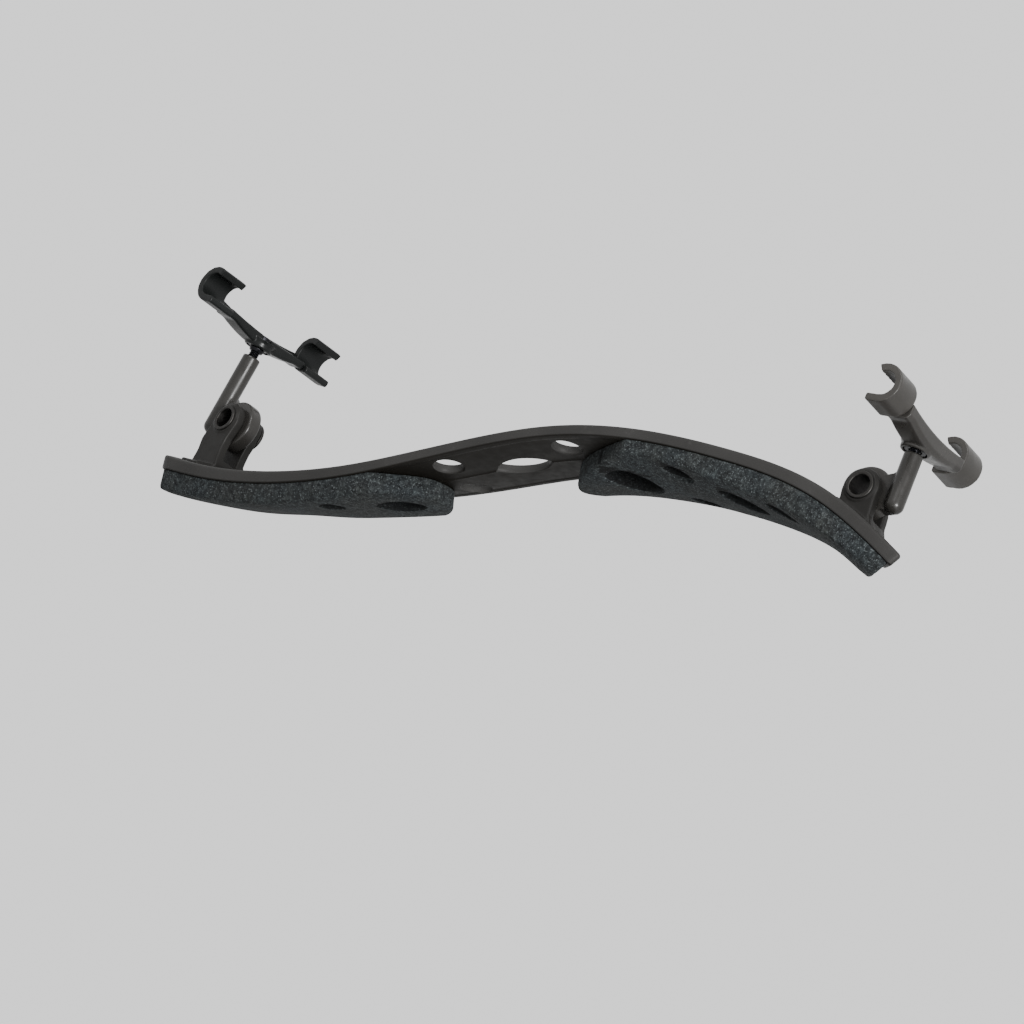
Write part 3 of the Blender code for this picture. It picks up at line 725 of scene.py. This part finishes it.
for side, sd in SIDES.items():
    f = 1.0 if sd["s"] < 0 else -1.0
    MB, ML = side_matrix(sd, sd["blean"]), side_matrix(sd, sd["lean"])
    lo, hi, dn = sd["base"]
    half_d = EAR_T + GAP_W / 2
    px = sd["p"][0]
    vm = (sd["p"][1] - strip_frame(px)[0][1]) / HALF

    # bracket: waisted ears with a raised ring round the bore, on a foot with two flanges
    out = arc(0, 0, 4.45, -12, 192, 40)
    out += [(-4.15, -2.6), (-3.9, -4.4), (-4.0, -6.4), (-4.5, -8.6), (lo - 0.7, -11.0), (lo - 1.1, dn), (hi, dn), (hi, -9.2), (5.0, -6.2),
            (4.6, -3.0)]
    small = arc(0, 0, 3.95, -12, 192, 40) + out[41:]
    ears = join("ears", prism("e1", out, f * 0.4, f * (half_d - 0.12), MB), prism("e2", small, f * 0.6, -f * (half_d - 0.12), MB))
    rings = [turned("ring%d" % k, [(EAR_BORE - 0.25, k * (half_d - 1.0)), (3.9, k * (half_d - 1.0)), (3.9, k * (half_d - 0.02)),
                                   (3.7, k * (half_d + 0.14)), (EAR_BORE - 0.25, k * (half_d + 0.16))], MB, 64, 'Y') for k in (f,)]
    fl = slab("flange", (px - 3.2, px + 3.2), (vm - FLANGE_REACH / HALF, vm + FLANGE_REACH / HALF), -3.0, WEB + 2.2, 12, 20)
    br = join(side + "_bracket_body", ears, fl)
    mould(br, 0.24, 5)
    cut(br, prism("slot_cut", [(-13, 10), (-13, sd["slot"]), (14, sd["slot"]), (14, 10)], -GAP_W / 2, GAP_W / 2, MB))
    mould(br, 0.2, 4)
    br = join(side + "_bracket_body", br)
    for rg in rings:
        cut(br, rg, op='UNION')
    mould(br, 0.18, 2)
    cut(br, rod("bore_cut", EAR_BORE, -half_d - 1, half_d + 1, MB, 72, 'Y'),
        slab("seat_cut", (px - 16, px + 16), (-0.97, 0.97), -14.0, WEB + 0.12, 32, 26),
        *[turned("sc%d" % i, [(0, -3), (1.15, -3), (1.15, 9), (0, 9)], surface_matrix(px, vm * HALF + dv), 32)
          for i, dv in enumerate((-SCREW_V, SCREW_V))], smooth=45)
    place(br, "base", [side + "_bracket"], M_BRACKET)

    # pivot: a rolled hollow sleeve and its collar
    h0, h1 = half_d + 0.3, half_d + 0.3 + FLANGE_T
    sl = turned(side + "_pivot_rivet", soft_prof(
        [(SLEEVE_IN, f * (h0 + 0.25)), (FLANGE_R - 0.45, f * (h0 + 0.25)), (FLANGE_R - 0.3, f * (h0 - 0.1)), (SLEEVE_R, f * (h0 - 0.1)),
         (SLEEVE_R, -f * (h1 + 0.2)), (SLEEVE_IN, -f * (h1 + 0.2))], 0.26, 5, True), MB, 72, 'Y')
    place(sl, "base", [side + "_pivot_sleeve"], M_SLEEVE)
    co = turned(side + "_pivot_lock_ring", soft_prof(
        [(SLEEVE_R + 0.1, -f * (h0 - 0.15)), (FLANGE_R - 0.1, -f * (h0 - 0.15)), (FLANGE_R - 0.1, -f * h1), (SLEEVE_R + 0.1, -f * h1)],
        0.2, 4, True), MB, 72, 'Y')
    place(co, "base", [side + "_pivot_collar"], M_SLEEVE)

    # bracket screws: domed heads with a cross recess, hidden under the pads
    for i, dv in enumerate((-SCREW_V, SCREW_V)):
        MS = surface_matrix(px, vm * HALF + dv)
        sc = turned("s", soft_prof([(0, 0.15), (1.65, 0.15), (1.65, 0.72), (0.9, 0.72), (0.9, 4.3), (0, 4.3)], 0.18, 3), MS, 48)
        cross = [prism("x%d" % k, [(-1.0, -0.5), (1.0, -0.5), (0.8, 0.55), (-0.8, 0.55)], -0.16, 0.16,
                       MS @ Matrix.Rotation(math.radians(90 * k + 20), 4, 'Z')) for k in (0, 1)]
        sc.name = side + "_base_screw_%d" % (i + 1)
        cut(sc, *cross)
        place(sc, "base", [side + "_bracket_screw_%d" % (i + 1)], M_ZINC)

    # leg: knuckle with a broad rounded rim, short web and the threaded tube
    top = sd["top"]
    kw = KNUCKLE_W / 2
    kn = turned("kn", soft_prof([(KNUCKLE_BORE - 0.4, -kw), (3.9, -kw), (4.1, -kw + 0.12), (KNUCKLE_R, -kw + 0.12), (KNUCKLE_R, kw - 0.12),
                                 (4.1, kw - 0.12), (3.9, kw), (KNUCKLE_BORE - 0.4, kw)], 0.7, 5, True), ML, 96, 'Y')
    web = prism("web", [(3.4, 4.6), (3.4, -3.6), (5.4, -3.6), (7.9, -2.9), (7.9, 7.2), (6.6, 6.3), (5.0, 5.2)], -kw + 0.12, kw - 0.12, ML)
    MT = ML @ Matrix.Translation(Vector((TUBE_OFFSET, f * TUBE_FWD, 0)) * MM)
    dome = [(TUBE_R * math.sin(math.radians(a)), -TUBE_BELOW + TUBE_R * 0.9 * (1 - math.cos(math.radians(a)))) for a in range(0, 91, 10)]
    tube = turned("tube", dome + [(TUBE_R, 2.0), (TUBE_R, top - 0.3), (TUBE_R - 0.08, top - 0.1), (TUBE_R - 0.28, top), (0, top)], MT, 64)
    leg = join(side + "_leg_arm", kn, web, tube)
    mould(leg, 0.17, 4)
    depth = sd["screw"] + 0.8
    cut(leg, rod("kb", KNUCKLE_BORE, -4, 4, ML, 72, 'Y'), rod("tb", BORE_R, max(top - depth, -1.8), top + 2, MT, 48), smooth=45)
    place(leg, side + "_leg", [side + "_leg"], M_LEG)

    # foot
    seat = top + sd["neck"] + BOSS_BELOW
    bar = math.radians(sd["bar"])
    up = ML.to_3x3() @ Vector((0, 0, 1))
    d = Vector((math.sin(bar), math.cos(bar), 0))
    d = (d - up * d.dot(up)).normalized()
    inb = d.cross(up)
    if inb.x * sd["s"] > 0:
        d = -d
        inb = d.cross(up)
    o = MT @ (Vector((0, 0, seat)) * MM)
    MF = Matrix(((inb.x, d.x, up.x, o.x), (inb.y, d.y, up.y, o.y), (inb.z, d.z, up.z, o.z), (0, 0, 0, 1)))
    cam_k = 1 if d.y < 0 else -1               # local Y sign that faces the neck side

    # bar: a rounded section swept along the bow, with a low wall along its outer side
    def section(b):
        low = -2.35 - 1.55 * max(0.0, 1 - (b / 11.0) ** 2)
        top = -0.35 - 0.6 * max(0.0, 1 - (b / 12.5) ** 2)
        wall = 0.05 + 1.15 * (b / BAR_HALF) ** 2
        return [(1.95, low + 0.5), (1.5, low), (-2.7, low - 0.05), (-3.6, low + 0.1), (-4.35, low + 1.0), (-4.4, wall - 0.3), (-4.1, wall),
                (-3.5, wall), (-2.9, top + 0.25), (-2.4, top), (1.6, top), (1.95, top - 0.35)]
    bm = bmesh.new()
    prev = None
    N = 40
    for i in range(N + 1):
        b = (-1 + 2 * i / N) * (BAR_HALF + 0.12)
        ringv = [bm.verts.new(MF @ (Vector((p[0], b, p[1])) * MM)) for p in section(b)]
        if prev:
            for q in range(len(ringv)):
                r2 = (q + 1) % len(ringv)
                bm.faces.new((prev[q], prev[r2], ringv[r2], ringv[q]))
        else:
            bm.faces.new(ringv)
        prev = ringv
    bm.faces.new(prev)
    fork = obj("bar", bm)
    boss = turned("boss", [(0, -BOSS_BELOW), (3.35, -BOSS_BELOW), (3.6, -BOSS_BELOW + 0.3), (3.6, -3.0), (4.1, -2.2), (0, -2.2)], MF, 64)
    fork = join(side + "_foot_bar", fork, boss)
    mould(fork, 0.19, 7)
    cs = [turned("fb", [(0, -6), (2.95, -6), (2.9, -BOSS_BELOW + 1.1), (SCREW_R + 0.3, -BOSS_BELOW + 1.1), (SCREW_R + 0.3, -2.65),
                        (SCREW_HEAD_R + 0.3, -2.65), (SCREW_HEAD_R + 0.3, 3), (0, 3)], MF, 56)]
    cut(fork, *cs, smooth=42)
    place(fork, side + "_foot", [side + "_foot_fork"], M_FOOT_CHEST_SHADE if side == "chest" else M_FOOT_SHOULDER_LIT)

    # hooks: rubber C sections with soft edges and a thicker heel
    cx, cz = HOOK_C
    prof = arc(cx, cz, HOOK_R, 62, 270, 48) + [(1.6, cz - HOOK_R), (2.9, cz - HOOK_R), (3.25, cz - HOOK_R + 0.35), (3.25, cz - HOOK_IN - 0.35),
                                              (2.9, cz - HOOK_IN), (1.6, cz - HOOK_IN)] + arc(cx, cz, HOOK_IN, 270, 62, 40)
    for nm, k in (("neck", -1), ("chin", 1)):
        k2 = k * (1 if d.y > 0 else -1)
        y0, y1 = k2 * (BAR_HALF + GRIP_GAP - 0.1), k2 * (BAR_HALF + GRIP_GAP + GRIP_L)
        g = prism("%s_grip_%s_hook" % (side, nm), prof, y0, y1, MF)
        mould(g, 0.17, 9)
        place(g, side + "_foot", ["%s_grip_%s" % (side, nm)], M_GRIP_CHEST_SHADE if side == "chest" else M_GRIP_SHOULDER_LIT)

    # height screw with its thread, head with a hex socket, and a lock collar under the boss
    z0 = -2.35
    thread = threaded("thread", SCREW_R, z0 - sd["screw"], z0 + 0.1, MF)
    head = turned("head", soft_prof([(0, z0), (SCREW_HEAD_R, z0), (SCREW_HEAD_R, z0 + SCREW_HEAD_H), (0, z0 + SCREW_HEAD_H)], 0.3, 5), MF, 64)
    cut(head, prism("hex", [(1.05 * math.cos(math.radians(60 * i)), 1.05 * math.sin(math.radians(60 * i))) for i in range(6)], -9, 9,
                    MF @ Matrix(((1, 0, 0, 0), (0, 0, 1, 0), (0, 1, 0, 0), (0, 0, 0, 1)))
                    @ Matrix.Translation(Vector((0, z0 + 0.4 + 9, 0)) * MM)))
    parts = [thread, head]
    if side == "chest":
        parts.append(turned("collar", soft_prof([(1.0, -4.35), (1.95, -4.35), (1.95, -4.55), (1.62, -5.3), (1.0, -5.3)], 0.15, 3, True), MF, 48))
    sc = parts[0]
    sc.name = side + "_height_bolt"
    for p in parts[1:]:
        cut(sc, p, op='UNION', smooth=42)
    place(sc, side + "_foot", [side + "_height_screw"], M_SCREW)
    w = turned(side + "_friction_washer", soft_prof([(SCREW_R + 0.3, -4.2), (2.6, -4.2), (2.6, -3.6), (SCREW_R + 0.3, -3.6)], 0.15, 3, True), MF, 56)
    place(w, side + "_lift_washer", [side + "_foot_washer"], M_SCREW)

# ---- floor, light, camera -------------------------------------------------------------------
bm = bmesh.new()
bmesh.ops.create_grid(bm, x_segments=8, y_segments=8, size=4.0)
fl = obj("floor", bm, None)
fl.location = (0, 0, -0.56)
mf = Mat("floor_pale")
fl.data.materials.append(mf.out(mf.ramp(mf.noise(3, 2), [(0.3, (0.62, 0.62, 0.62)), (0.7, (0.65, 0.65, 0.65))]),
                                mf.range(mf.noise(20, 2), 0.75, 0.9), Specular_IOR_Level=0.2))

w = bpy.data.worlds.new("studio")
bpy.context.scene.world = w
w.use_nodes = True
w.node_tree.nodes["Background"].inputs["Color"].default_value = (1.0, 1.0, 1.0, 1)
w.node_tree.nodes["Background"].inputs["Strength"].default_value = 1.25


def area(name, loc, target, size, power, colour=(1, 1, 1)):
    l = bpy.data.lights.new(name, 'AREA')
    l.shape, l.size, l.energy, l.color = 'DISK', size, power, colour
    ob = bpy.data.objects.new(name, l)
    COL.objects.link(ob)
    ob.location = loc
    ob.rotation_euler = (Vector(target) - Vector(loc)).to_track_quat('-Z', 'Y').to_euler()
    return ob


area("key", (1.30, -0.62, -0.12), (0, 0, 0.02), 0.45, 46)
area("top", (0.30, -1.10, 0.85), (0, 0, 0.0), 0.5, 14)

cd = bpy.data.cameras.new("camera")
cam = bpy.data.objects.new("camera", cd)
COL.objects.link(cam)
cd.lens, cd.sensor_width = 210.94, 36.0
cd.clip_start, cd.clip_end = 0.01, 50.0
R, U, B = (0.73354081, 0.55411558, 0.39354009), (-0.12110573, -0.46320311, 0.87793865), (0.66876848, -0.69166379, -0.27267181)
cam.matrix_world = Matrix(((R[0], U[0], B[0], 0.908414), (R[1], U[1], B[1], -0.946611), (R[2], U[2], B[2], -0.359635), (0, 0, 0, 1)))
bpy.context.scene.camera = cam
